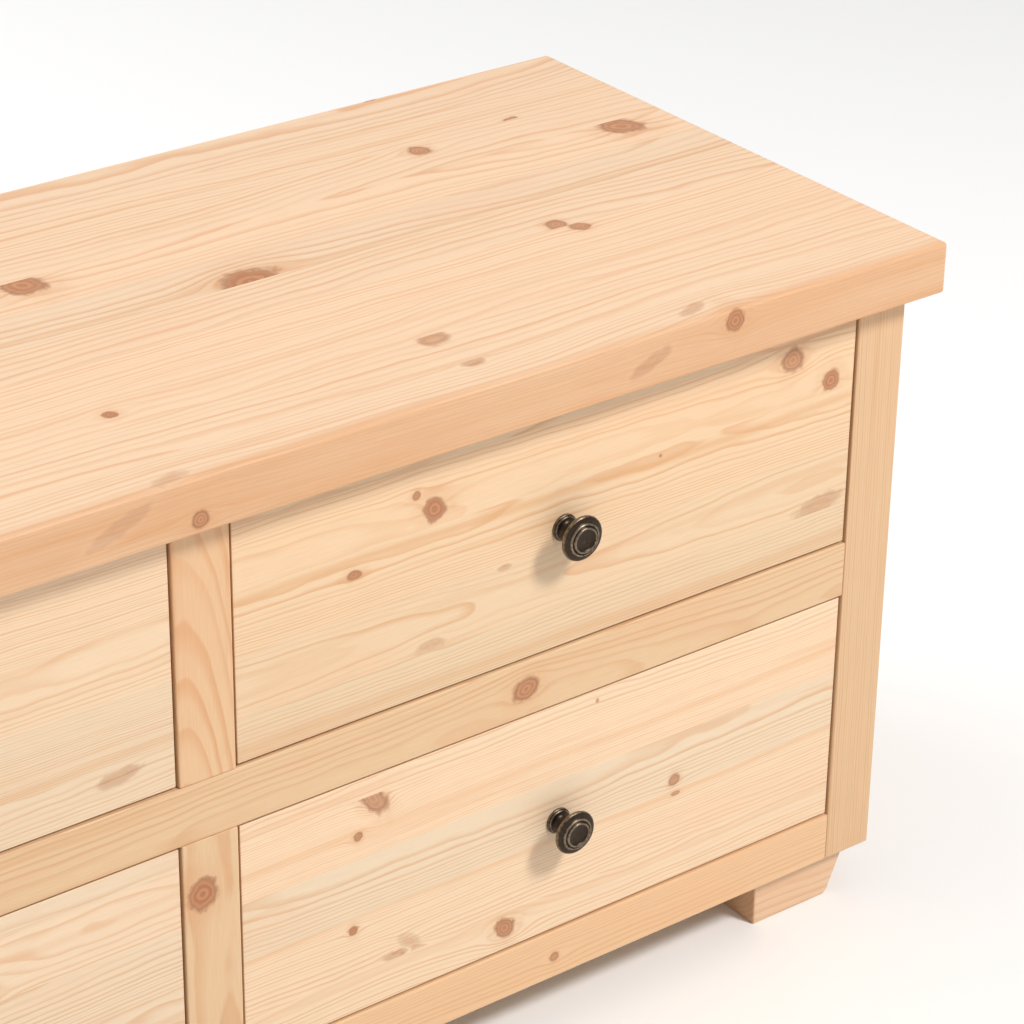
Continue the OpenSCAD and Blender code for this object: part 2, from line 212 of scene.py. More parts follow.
def knot_group():
    """One branch through the wood: a cylinder round the line through Centre along Branch.
    It pushes the grain aside, and cuts off at the glue lines Low and High."""
    tree, given, result = group_tree(
        "pine_knot",
        [("Place", VECTOR), ("Ragged", FLOAT), ("Shift", VECTOR), ("Core", FLOAT), ("Nearest", FLOAT),
         ("Centre", VECTOR), ("Branch", VECTOR), ("Side", VECTOR), ("Radius", FLOAT),
         ("Dark", FLOAT), ("Low", FLOAT), ("High", FLOAT)],
        [("Shift", VECTOR), ("Core", FLOAT), ("Nearest", FLOAT)])
    away = vector(tree, "SUBTRACT", given["Place"], given["Centre"])
    along = dot(tree, away, given["Branch"])
    flat = vector(tree, "SUBTRACT", away, scaled(tree, given["Branch"], along))
    length = vector(tree, "LENGTH", flat).node.outputs["Value"]
    reach = calc(tree, "MULTIPLY", length, given["Ragged"])
    ratio = calc(tree, "DIVIDE", reach, given["Radius"])
    across = node(tree, "ShaderNodeSeparateXYZ", given["Place"]).node.outputs[1]
    within = calc(tree, "MULTIPLY",
                  calc(tree, "GREATER_THAN", across, given["Low"]),
                  calc(tree, "LESS_THAN", across, given["High"]))
    drawn_out = vector(tree, "MULTIPLY", flat, (0.42, 1, 1))
    square = calc(tree, "MULTIPLY", given["Radius"], given["Radius"])
    push = calc(tree, "DIVIDE", square,
                calc(tree, "MULTIPLY_ADD", square, 0.35, dot(tree, drawn_out, drawn_out)))
    push = calc(tree, "MULTIPLY", push, within)
    sideways = calc(tree, "MULTIPLY", dot(tree, flat, given["Side"]), push)
    moved = scaled(tree, given["Side"], calc(tree, "MULTIPLY", sideways, -1.0))
    core = calc(tree, "MULTIPLY", ramp(tree, ratio, 0.72, 1.18, 1.0, 0.0),
                calc(tree, "MULTIPLY", given["Dark"], within))
    far = calc(tree, "MULTIPLY_ADD", calc(tree, "SUBTRACT", 1.0, within), 50.0,
               calc(tree, "DIVIDE", ratio, given["Dark"]))
    tree.links.new(vector(tree, "ADD", given["Shift"], moved), result["Shift"])
    tree.links.new(calc(tree, "MAXIMUM", given["Core"], core), result["Core"])
    tree.links.new(calc(tree, "MINIMUM", given["Nearest"], far), result["Nearest"])
    return tree


def rings_group():
    """The log: growth rings round a pith that each stave has in its own place, fine fibres,
    warm streaks along the grain, knots and end grain."""
    tree, given, result = group_tree(
        "pine_rings",
        [("Place", VECTOR), ("Shift", VECTOR), ("Core", FLOAT), ("Nearest", FLOAT),
         ("Pith", VECTOR), ("Spread", FLOAT), ("Spacing", FLOAT), ("Seed", FLOAT),
         ("Stave", FLOAT), ("First", FLOAT), ("Streak", FLOAT), ("Contrast", FLOAT),
         ("Slope", FLOAT), ("Wander", FLOAT), ("Normal", VECTOR), ("Tint", COLOUR)],
        [("Color", COLOUR), ("Height", FLOAT), ("Roughness", FLOAT)])
    place = node(tree, "ShaderNodeSeparateXYZ", given["Place"]).node
    lane = calc(tree, "FLOOR", calc(tree, "DIVIDE",
                calc(tree, "SUBTRACT", place.outputs[1], given["First"]), given["Stave"]))
    key = node(tree, "ShaderNodeCombineXYZ", lane, given["Seed"], 0.0)
    luck = node(tree, "ShaderNodeTexWhiteNoise", key, noise_dimensions="3D").node.outputs["Color"]
    luck = node(tree, "ShaderNodeSeparateXYZ", luck).node
    jump = scaled(tree, key, 137.3)
    moved = vector(tree, "ADD", given["Place"], given["Shift"])
    wander = node(tree, "ShaderNodeTexNoise",
                  vector(tree, "ADD", vector(tree, "MULTIPLY", moved, (0.0021, 0.0035, 0.0035)), jump),
                  None, 1.0, 1.5, 0.4).node.outputs["Color"]
    wander = scaled(tree, vector(tree, "SUBTRACT", wander, (0.5, 0.5, 0.5)), given["Wander"])
    ripple = node(tree, "ShaderNodeTexNoise",
                  vector(tree, "ADD", vector(tree, "MULTIPLY", moved, (0.012, 0.03, 0.03)), jump),
                  None, 1.0, 2.0, 0.5).node.outputs["Color"]
    ripple = scaled(tree, vector(tree, "SUBTRACT", ripple, (0.5, 0.5, 0.5)), 3.2)
    bent = vector(tree, "ADD", moved, vector(tree, "ADD", wander, ripple))
    middle = calc(tree, "MULTIPLY_ADD", calc(tree, "ADD", lane, 0.5), given["Stave"], given["First"])
    bent = node(tree, "ShaderNodeSeparateXYZ", bent).node
    pith = node(tree, "ShaderNodeSeparateXYZ", given["Pith"]).node
    luck_v = calc(tree, "MULTIPLY", calc(tree, "SUBTRACT", luck.outputs[0], 0.5), given["Spread"])
    luck_w = calc(tree, "MULTIPLY", luck.outputs[1], calc(tree, "MULTIPLY", given["Spread"], -0.22))
    out_v = calc(tree, "SUBTRACT", calc(tree, "SUBTRACT", bent.outputs[1], middle),
                 calc(tree, "ADD", pith.outputs[1], luck_v))
    out_w = calc(tree, "SUBTRACT", bent.outputs[2], calc(tree, "ADD", pith.outputs[2], luck_w))
    out_w = calc(tree, "MULTIPLY_ADD", place.outputs[0], given["Slope"], out_w)
    radius = calc(tree, "SQRT", calc(tree, "ADD", calc(tree, "MULTIPLY", out_v, out_v),
                                     calc(tree, "MULTIPLY", out_w, out_w)))
    growth = node(tree, "ShaderNodeCombineXYZ",
                  calc(tree, "MULTIPLY", radius, 0.11), lane, given["Seed"])
    uneven = calc(tree, "MULTIPLY", calc(tree, "SUBTRACT", noise(tree, growth, 1.0), 0.5), 5.0)
    year = calc(tree, "DIVIDE", calc(tree, "ADD", radius, uneven), given["Spacing"])
    season = calc(tree, "FRACT", year)
    each = node(tree, "ShaderNodeCombineXYZ", calc(tree, "FLOOR", year), lane, given["Seed"])
    vigour = node(tree, "ShaderNodeTexWhiteNoise", each, noise_dimensions="3D").node.outputs["Value"]
    late = calc(tree, "MULTIPLY", ramp(tree, season, 0.42, 0.88),
                ramp(tree, season, 0.88, 1.0, 1.0, 0.0))
    late = calc(tree, "MULTIPLY", late, calc(tree, "MULTIPLY_ADD", vigour, 0.85, 0.3))
    fibre = noise(tree, vector(tree, "MULTIPLY", given["Place"], (0.03, 1.7, 1.7)), 3.0, 0.65)
    warm = noise(tree, vector(tree, "ADD", jump,
                 vector(tree, "MULTIPLY", moved, (0.0028, 0.085, 0.085))), 3.0, 0.55)
    patch = noise(tree, vector(tree, "ADD", jump,
                  vector(tree, "MULTIPLY", moved, (0.0045, 0.014, 0.014))), 2.0, 0.5)

    pale = blend(tree, luck.outputs[2], (0.835, 0.65, 0.452, 1), (0.83, 0.605, 0.405, 1))
    summer = (0.70, 0.38, 0.19, 1)
    resin = (0.69, 0.36, 0.155, 1)
    rosy = (0.84, 0.52, 0.33, 1)
    strength = calc(tree, "MULTIPLY", late, given["Contrast"])
    colour = blend(tree, strength, pale, summer)
    colour = blend(tree, ramp(tree, patch, 0.5, 0.8, 0.0, 0.35), colour, rosy)
    colour = blend(tree, ramp(tree, warm, 0.55, 0.8, 0.0, 0.4), colour, resin)
    colour = blend(tree, calc(tree, "MULTIPLY", given["Streak"],
                              calc(tree, "MULTIPLY_ADD", warm, 1.1, 0.25)), colour, resin)
    grey = calc(tree, "MULTIPLY_ADD", fibre, 0.3, 0.85)
    colour = blend(tree, 1.0, colour, node(tree, "ShaderNodeCombineXYZ", grey, grey, grey), "MULTIPLY")
    tone = calc(tree, "MULTIPLY_ADD", luck.outputs[2], 0.09, 0.95)
    colour = blend(tree, 1.0, colour, node(tree, "ShaderNodeCombineXYZ", tone, tone, tone), "MULTIPLY")
    colour = blend(tree, 1.0, colour, given["Tint"], "MULTIPLY")

    halo = ramp(tree, given["Nearest"], 0.9, 2.9, 0.7, 0.0)
    colour = blend(tree, calc(tree, "MULTIPLY", halo, calc(tree, "MINIMUM",
                   calc(tree, "MULTIPLY_ADD", strength, 0.9, 0.35), 1.0)), colour, (0.63, 0.32, 0.15, 1))
    turns = calc(tree, "SINE", calc(tree, "MULTIPLY_ADD", given["Nearest"], 15.0,
                                    calc(tree, "MULTIPLY", patch, 6.0)))
    heart = blend(tree, ramp(tree, turns, -1.0, 1.0), (0.40, 0.155, 0.065, 1), (0.50, 0.225, 0.105, 1))
    heart = blend(tree, ramp(tree, given["Nearest"], 0.62, 0.95, 0.0, 0.65), heart,
                  (0.27, 0.105, 0.048, 1))
    colour = blend(tree, given["Core"], colour, heart)

    ended = calc(tree, "ABSOLUTE", node(tree, "ShaderNodeSeparateXYZ", given["Normal"]).node.outputs[0])
    ended = ramp(tree, ended, 0.55, 0.95)
    colour = blend(tree, calc(tree, "MULTIPLY", ended, 0.8), colour,
                   blend(tree, 1.0, colour, (0.80, 0.70, 0.60, 1), "MULTIPLY"))
    rough = calc(tree, "MULTIPLY_ADD", fibre, 0.10, 0.44)
    rough = calc(tree, "ADD", rough, calc(tree, "MULTIPLY", ended, 0.2))
    rough = calc(tree, "SUBTRACT", rough, calc(tree, "MULTIPLY", given["Core"], 0.08))
    tree.links.new(colour, result["Color"])
    tree.links.new(fibre, result["Height"])
    tree.links.new(rough, result["Roughness"])
    return tree


pine_knot = knot_group()
pine_rings = rings_group()


def pine(name, low, grain, across, knots=(), streaks=(), pith=(0, -45), spread=150, spacing=2.7,
         seed=0.0, stave=4000.0, first=-2000.0, contrast=0.62, slope=0.0, wander=34.0,
         tint=(1, 1, 1, 1)):
    """Clear-waxed pine, cut from the board whose lowest corner is low. grain and across name
    the axes along and across the grain. A knot is (along, across, through, radius, dark,
    branch direction), in millimetres from the lowest corner; a streak is (across, half width,
    strength)."""
    finish = bpy.data.materials.new(name)
    finish.use_nodes = True
    tree = finish.node_tree
    surface = tree.nodes["Principled BSDF"]
    through = ({0, 1, 2} - {grain, across}).pop()
    coordinates = tree.nodes.new("ShaderNodeTexCoord")
    start = vector(tree, "MULTIPLY_ADD", coordinates.outputs["Object"], (1000, 1000, 1000),
                   tuple(-1000 * c for c in low))
    turned = []
    for source in (start, coordinates.outputs["Normal"]):
        parts = node(tree, "ShaderNodeSeparateXYZ", source).node.outputs
        turned.append(node(tree, "ShaderNodeCombineXYZ", parts[grain], parts[across], parts[through]))
    place, normal = turned
    state = {"Shift": (0, 0, 0), "Core": 0.0, "Nearest": 60.0}
    ragged = calc(tree, "MULTIPLY_ADD", noise(tree, scaled(tree, place, 0.11), 2.0, 0.55), 0.8, 0.6)
    for along, over, depth, radius, dark, branch in knots:
        branch = Vector(branch).normalized()
        lane = math.floor((over - first) / stave)
        state = use_group(tree, pine_knot, {
            "Place": place, "Ragged": ragged, "Centre": (along, over, depth), "Branch": branch,
            "Side": Vector((1, 0, 0)).cross(branch).normalized(), "Radius": radius, "Dark": dark,
            "Low": first + lane * stave, "High": first + (lane + 1) * stave, **state})
    streak = 0.0
    for over, half, strength in streaks:
        moved = node(tree, "ShaderNodeSeparateXYZ",
                     vector(tree, "ADD", place, state["Shift"])).node
        drift = noise(tree, vector(tree, "MULTIPLY", place, (0.004, 0.0, 0.0)), 2.0)
        gap = calc(tree, "SUBTRACT", moved.outputs[1], over)
        gap = calc(tree, "MULTIPLY_ADD", calc(tree, "SUBTRACT", drift, 0.5), 16.0, gap)
        band = ramp(tree, calc(tree, "ABSOLUTE", gap), 0.0, half, strength, 0.0)
        streak = calc(tree, "MAXIMUM", band, streak)
    wood = use_group(tree, pine_rings, {
        "Place": place, "Normal": normal, "Pith": (0, pith[0], pith[1]), "Spread": spread,
        "Spacing": spacing, "Seed": seed, "Stave": stave, "First": first, "Streak": streak,
        "Contrast": contrast, "Slope": slope, "Wander": wander, "Tint": tint, **state})
    tree.links.new(wood["Color"], surface.inputs["Base Color"])
    tree.links.new(wood["Roughness"], surface.inputs["Roughness"])
    surface.inputs["Specular IOR Level"].default_value = 0.42
    bump = tree.nodes.new("ShaderNodeBump")
    bump.inputs["Strength"].default_value = 0.35
    bump.inputs["Distance"].default_value = 0.00025
    tree.links.new(wood["Height"], bump.inputs["Height"])
    tree.links.new(bump.outputs["Normal"], surface.inputs["Normal"])
    return finish


def block(low, high):
    """A bmesh box between two corners."""
    made = bmesh.new()
    bmesh.ops.create_cube(made, size=1)
    size = Vector(high) - Vector(low)
    centre = (Vector(high) + Vector(low)) / 2
    for vertex in made.verts:
        vertex.co = Vector(c * s for c, s in zip(vertex.co, size)) + centre
    return made


def ease(made, edges, width, segments, clamp=True):
    """Rounds those edges of a bmesh and marks the new faces smooth."""
    out = bmesh.ops.bevel(made, geom=list(edges), offset=width, segments=segments,
                          profile=0.5, affect="EDGES", clamp_overlap=clamp)
    for face in out["faces"]:
        face.smooth = True
    return out


def finished(made, name, material):
    """Turns a bmesh into a mesh object at the origin with that material."""
    bmesh.ops.recalc_face_normals(made, faces=made.faces)
    mesh = bpy.data.meshes.new(name)
    made.to_mesh(mesh)
    made.free()
    mesh.materials.append(material)
    piece = bpy.data.objects.new(name, mesh)
    bpy.context.scene.collection.objects.link(piece)
    return piece


def lies_along(edge, axis):
    way = (edge.verts[1].co - edge.verts[0].co).normalized()
    return abs(way[axis]) > 0.9


top_low, top_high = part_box("top_panel")
top_stave = 49
top_first_line = 41
top_height = 40
top_arris = 6.5
top_corner = 3
top_underside = 1.5
top_knots = [
    (687, 326, top_height, 15, 0.9, (0.35, -0.4, 0.8)),
    (823, 239, top_height, 19, 0.95, (0.6, 0.1, 0.7)),
    (1067, 372, top_height, 9.5, 0.8, (0.1, 0.1, 1)),
    (1166, 385, top_height, 3.5, 0.8, (0.85, 0.1, 0.5)),
    (1228, 322, top_height, 15, 0.85, (0.55, -0.3, 0.7)),
    (1064, 194, top_height, 8.5, 0.8, (0.2, 0.2, 1)),
    (1077, 181, top_height, 7, 0.8, (0.5, -0.2, 0.7)),
    (630, 111, top_height, 5.5, 0.95, (0.1, -0.2, 1)),
    (872, 84, top_height, 10, 0.5, (0.5, 0.1, 0.6)),
    (872, 37, top_height, 6, 0.4, (0.6, 0, 0.5)),
    (1075, 0, 31, 8.5, 0.95, (0.1, 0.9, -0.35)),
    (1050, 18, top_height, 6, 0.3, (0.85, 0.3, 0.35)),
    (629, 0, 10, 6.5, 0.85, (0.1, 1, 0.25)),
    (612, 10, top_height, 6, 0.25, (0.85, 0.2, 0.35)),
    (1097, 482, top_height, 5, 0.8, (0.2, 0, 1)),
    (410, 140, top_height, 7, 0.85, (0.3, 0.2, 0.9)),
    (300, 365, top_height, 13, 0.9, (0.5, 0.2, 0.7)),
    (190, 65, top_height, 6, 0.8, (0.2, -0.3, 0.9)),
    (95, 250, top_height, 14, 0.9, (0.6, -0.2, 0.6)),
]
top_streaks = [(244, 5, 0.5), (404, 4, 0.35), (120, 7, 0.25), (0, 14, 0.75)]
waxed_top = pine("waxed_pine_top", top_low, 0, 1, top_knots, top_streaks, pith=(0, -70), spread=170,
                 spacing=2.6, seed=3.0, stave=top_stave, first=top_first_line, contrast=0.62,
                 tint=(0.93, 0.885, 0.875, 1), wander=26)

made = block(top_low, top_high)
ease(made, [e for e in made.edges if lies_along(e, 2)], top_corner * MM, 4)
ease(made, [e for e in made.edges if all(v.co.z > top_high.z - MM / 10 for v in e.verts)],
     top_arris * MM, 8)
ease(made, [e for e in made.edges if all(v.co.z < top_low.z + MM / 10 for v in e.verts)],
     top_underside * MM, 3)
waxed_panel = finished(made, "waxed_top", waxed_top)
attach(waxed_panel, "carcase")
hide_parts("top_panel")


# ---------------------------------------------------------------- face frame
# Six straight pine members, 22 mm thick, dowelled and glued with plain butt
# joints and flushed off. The arrises are eased so that each joint shows as a
# fine line.

def eased_board(node_name, name, body, material, easing=1.0):
    """The board, or boards, of that CAD node with every long arris eased."""
    made = bmesh.new()
    made.from_mesh(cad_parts[node_name].data)
    bmesh.ops.remove_doubles(made, verts=made.verts, dist=1e-5)
    bmesh.ops.dissolve_limit(made, angle_limit=0.02, verts=made.verts, edges=made.edges)
    long_arrises = [e for e in made.edges
                    if e.is_manifold and e.calc_face_angle() > 0.5 and e.calc_length() > 4 * MM]
    ease(made, long_arrises, easing * MM, 3, clamp=False)
    piece = finished(made, name, material)
    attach(piece, body)
    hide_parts(node_name)
    return piece


frame_easing = 1.2
frame_colour = (0.885, 0.785, 0.665)
frame_grain = {
    "middle_rail": dict(knots=[(844, 23, 0, 9.5, 0.9, (0.55, 0.1, 0.7)),
                               (205, 14, 0, 5, 0.8, (0.3, 0.2, 1))],
                        pith=(8, 44), spacing=2.7, contrast=0.5, seed=11.0, wander=20),
    "bottom_rail": dict(knots=[(875, 19, 0, 4.5, 0.7, (0.2, 0.1, 1)),
                               (300, 25, 0, 6, 0.85, (0.5, 0.2, 1))],
                        pith=(-18, 52), spacing=2.5, contrast=0.45, seed=12.0, wander=20),
    # The right stile is darkened partly for its own colour and partly as painted shade, for the light
    # falling off towards the right.
    "stile_right": dict(pith=(-70, 30), spacing=2.4, contrast=0.6, seed=13.0, wander=8, shade=0.93),
    "stile_left": dict(knots=[(310, 24, 0, 6, 0.85, (0.3, 0.2, 1))],
                       pith=(60, 40), spacing=3.0, contrast=0.42, seed=14.0, wander=12),
    "centre_stile_upper": dict(pith=(2, 36), spacing=5.5, contrast=0.6, seed=15.0, slope=-0.13,
                               wander=12, shade=0.96),
    "centre_stile_lower": dict(knots=[(156, 15, 0, 12.5, 1.0, (0.2, 0.1, 1))],
                               pith=(30, 60), spacing=4.0, contrast=0.5, seed=16.0, wander=16),
}
for member, grain in frame_grain.items():
    runs, crosses = (2, 0) if "stile" in member else (0, 2)
    # This multiplier darkens a member's colour; on the right stile part of it is painted shade.
    shade = grain.pop("shade", 1.0)
    waxed = pine("waxed_pine_" + member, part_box(member)[0], runs, crosses, spread=0,
                 tint=(*(c * shade for c in frame_colour), 1), **grain)
    eased_board(member, member + "_planed", "carcase", waxed, frame_easing)


# ---------------------------------------------------------------- carcase
# Solid pine ends, partition, floor board and flat rails under the top, all glued
# up, with a thin plywood panel let into the back of the ends. The frame's dowels
# and the drawer stops are beech.

def stray_knots(seed, length, height, depth, count):
    """A few knots through a board of that size in millimetres, the same on every run."""
    draw = random.Random(seed)
    found = []
    for _ in range(count):
        radius = draw.choice((3, 4, 5, 6, 8, 11))
        found.append((
            draw.uniform(30, length - 30), draw.uniform(radius, height - radius), depth, radius,
            draw.uniform(0.75, 0.95), (draw.uniform(-0.6, 0.6), draw.uniform(-0.3, 0.3), 1)))
    return found


def plain_pine(node_name, grain, across, seed, count, depth=0.0, **more):
    """Pine for a board that has no knots of its own named."""
    low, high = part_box(node_name)
    size = (high - low) / MM
    return pine("waxed_pine_" + node_name, low, grain, across,
                stray_knots(seed, size[grain], size[across], depth, count), seed=seed, **more)


carcase_board = 18.0
carcase_easing = 0.8
for side, shown_face in (("left", 0.0), ("right", carcase_board)):
    end = "side_panel_" + side
    eased_board(end, end + "_planed", "carcase",
                plain_pine(end, 2, 1, 21 + shown_face, 9, shown_face, stave=73, first=-12, spread=150,
                           spacing=3.8, pith=(0, -60), contrast=0.42), 1.0)
carcase_boards = {
    "partition": (1, 2), "bottom_board": (0, 1), "top_rail_front": (0, 1), "top_rail_back": (0, 1),
}
for row in ("lower", "upper"):
    for column in ("left", "right"):
        for end in ("outer", "inner"):
            carcase_boards["runner_%s_%s_%s" % (row, column, end)] = (1, 0)
for number, (board, (grain, across)) in enumerate(carcase_boards.items()):
    count = 6 if number < 4 else 1
    eased_board(board, board + "_planed", "carcase",
                plain_pine(board, grain, across, 40 + number, count, carcase_board * (number == 1),
                           stave=88, first=-20, spread=120, spacing=3.4, contrast=0.4), carcase_easing)
eased_board("drawer_guides", "drawer_guides_planed", "carcase",
            plain_pine("drawer_guides", 1, 0, 60, 0, spacing=3.0, contrast=0.4), carcase_easing)


def plywood(name, low, grain, across):
    """Thin birch plywood with a plain rotary-cut face and the plies showing on its edges."""
    finish = pine(name, low, grain, across, pith=(0, -900), spacing=21, contrast=0.16, seed=70.0,
                  tint=(0.97, 0.97, 0.93, 1))
    tree = finish.node_tree
    surface = tree.nodes["Principled BSDF"]
    through = ({0, 1, 2} - {grain, across}).pop()
    coordinates = tree.nodes.new("ShaderNodeTexCoord")
    depth = node(tree, "ShaderNodeSeparateXYZ", coordinates.outputs["Object"]).node.outputs[through]
    facing = node(tree, "ShaderNodeSeparateXYZ", coordinates.outputs["Normal"]).node.outputs[through]
    ply = calc(tree, "FRACT", calc(tree, "MULTIPLY", calc(tree, "SUBTRACT", depth, low[through]), 500.0))
    ply = calc(tree, "MULTIPLY", ramp(tree, ply, 0.45, 0.55), 0.6)
    ply = calc(tree, "MULTIPLY", ply, ramp(tree, calc(tree, "ABSOLUTE", facing), 0.6, 0.4))
    face = surface.inputs["Base Color"].links[0].from_socket
    tree.links.new(blend(tree, ply, face, (0.52, 0.33, 0.19, 1)), surface.inputs["Base Color"])
    return finish


eased_board("back_panel", "back_panel_cut", "carcase",
            plywood("birch_plywood_back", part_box("back_panel")[0], 0, 2), 0.4)


def beech():
    """Straight beech with its short dark flecks."""
    finish = bpy.data.materials.new("beech_wood")
    finish.use_nodes = True
    tree = finish.node_tree
    surface = tree.nodes["Principled BSDF"]
    place = tree.nodes.new("ShaderNodeTexCoord").outputs["Object"]
    fleck = noise(tree, vector(tree, "MULTIPLY", place, (1500, 1500, 260)), 2.0)
    tone = noise(tree, vector(tree, "MULTIPLY", place, (60, 60, 12)), 3.0)
    colour = blend(tree, tone, (0.70, 0.47, 0.30, 1), (0.60, 0.37, 0.22, 1))
    colour = blend(tree, ramp(tree, fleck, 0.6, 0.72, 0.0, 0.6), colour, (0.36, 0.19, 0.10, 1))
    tree.links.new(colour, surface.inputs["Base Color"])
    tree.links.new(calc(tree, "MULTIPLY_ADD", tone, 0.12, 0.46), surface.inputs["Roughness"])
    bump = tree.nodes.new("ShaderNodeBump")
    bump.inputs["Strength"].default_value = 0.3
    bump.inputs["Distance"].default_value = 0.0002
    tree.links.new(fleck, bump.inputs["Height"])
    tree.links.new(bump.outputs["Normal"], surface.inputs["Normal"])
    return finish


beech_wood = beech()
eased_board("drawer_stops", "drawer_stops_sawn", "carcase", beech_wood, carcase_easing)
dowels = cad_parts["frame_dowels"]
dowels.data.materials.clear()
dowels.data.materials.append(beech_wood)


# ---------------------------------------------------------------- feet
# Four blocks of solid pine, upright on the inner end and raked on the outer one,
# with a rounded heel. Screwed up into the floor board through deep holes.

foot_rake = 18
foot_round = 6
foot_hole = 8
foot_hole_depth = 15
foot_easing = 1.6


def islands(node_name):
    """The lowest and highest corner of each separate solid in a CAD node."""
    made = bmesh.new()
    made.from_mesh(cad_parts[node_name].data)
    bmesh.ops.remove_doubles(made, verts=made.verts, dist=1e-6)
    waiting = set(made.verts)
    found = []
    while waiting:
        group, edge = [], [min(waiting, key=lambda v: v.index)]
        waiting.discard(edge[0])
        while edge:
            vertex = edge.pop()
            group.append(vertex.co.copy())
            for link in vertex.link_edges:
                other = link.other_vert(vertex)
                if other in waiting:
                    waiting.discard(other)
                    edge.append(other)
        found.append((Vector(map(min, zip(*group))), Vector(map(max, zip(*group)))))
    made.free()
    return sorted(found, key=lambda box: tuple(round(c, 4) for c in box[0]))


def foot_block(node_name, name, side, material):
    low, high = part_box(node_name)
    length, height = (high.x - low.x) / MM, (high.z - low.z) / MM
    heel = length - foot_rake
    turn = math.pi / 2 + math.atan2(foot_rake, height)
    reach = foot_round / math.tan(turn / 2)
    outline = [(0, 0)]
    for step in range(9):
        angle = -math.pi / 2 + (math.pi - turn) * step / 8
        outline.append((heel - reach + foot_round * math.cos(angle),
                        foot_round + foot_round * math.sin(angle)))
    outline += [(length, height), (0, height)]
    made = bmesh.new()
    near = []
    for x, z in outline:
        across = low.x + x * MM if side > 0 else high.x - x * MM
        near.append(made.verts.new((across, low.y, z * MM + low.z)))
    face = made.faces.new(near)
    out = bmesh.ops.extrude_face_region(made, geom=[face])
    for vertex in out["geom"]:
        if isinstance(vertex, bmesh.types.BMVert):
            vertex.co.y = high.y
    bmesh.ops.recalc_face_normals(made, faces=made.faces)
    ease(made, [e for e in made.edges if e.calc_face_angle() > 0.5], foot_easing * MM, 3, clamp=False)
    piece = finished(made, name, material)
    for place, _ in islands("foot_screws"):
        middle = place + Vector((foot_hole / 2, foot_hole / 2, 0)) * MM
        if low.x < middle.x < high.x and low.y < middle.y < high.y:
            drill(piece, middle, foot_hole / 2 * MM, foot_hole_depth * MM)
    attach(piece, "carcase")
    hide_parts(node_name)


def drill(piece, middle, radius, depth):
    """Bores a blind hole up into the piece from its underside."""
    made = bmesh.new()
    bmesh.ops.create_cone(made, cap_ends=True, segments=32, radius1=radius, radius2=radius,
                          depth=2 * depth, matrix=Matrix.Translation((middle.x, middle.y, 0)))
    bit = finished(made, "bit", piece.data.materials[0])
    boring = piece.modifiers.new("hole", "BOOLEAN")
    boring.operation = "DIFFERENCE"
    boring.solver = "EXACT"
    boring.object = bit
    bpy.context.view_layer.update()
    bored = bpy.data.meshes.new_from_object(piece.evaluated_get(bpy.context.evaluated_depsgraph_get()))
    piece.modifiers.remove(boring)
    piece.data = bored
    bpy.data.objects.remove(bit)


for number, (row, column) in enumerate(
        (r, c) for r in ("front", "back") for c in ("left", "right")):
    foot = "foot_%s_%s" % (row, column)
    foot_block(foot, foot + "_shaped", 1 if column == "right" else -1,
               plain_pine(foot, 0, 2, 80 + number, 0, pith=(10, 60), spacing=4.2, contrast=0.4,
                          tint=(0.90, 0.81, 0.75, 1)))


# ---------------------------------------------------------------- drawers
# Inset pine fronts glued up from 49 mm staves, on plain pine boxes with a plywood
# base held in grooves. The edges of the fronts are left crisp.

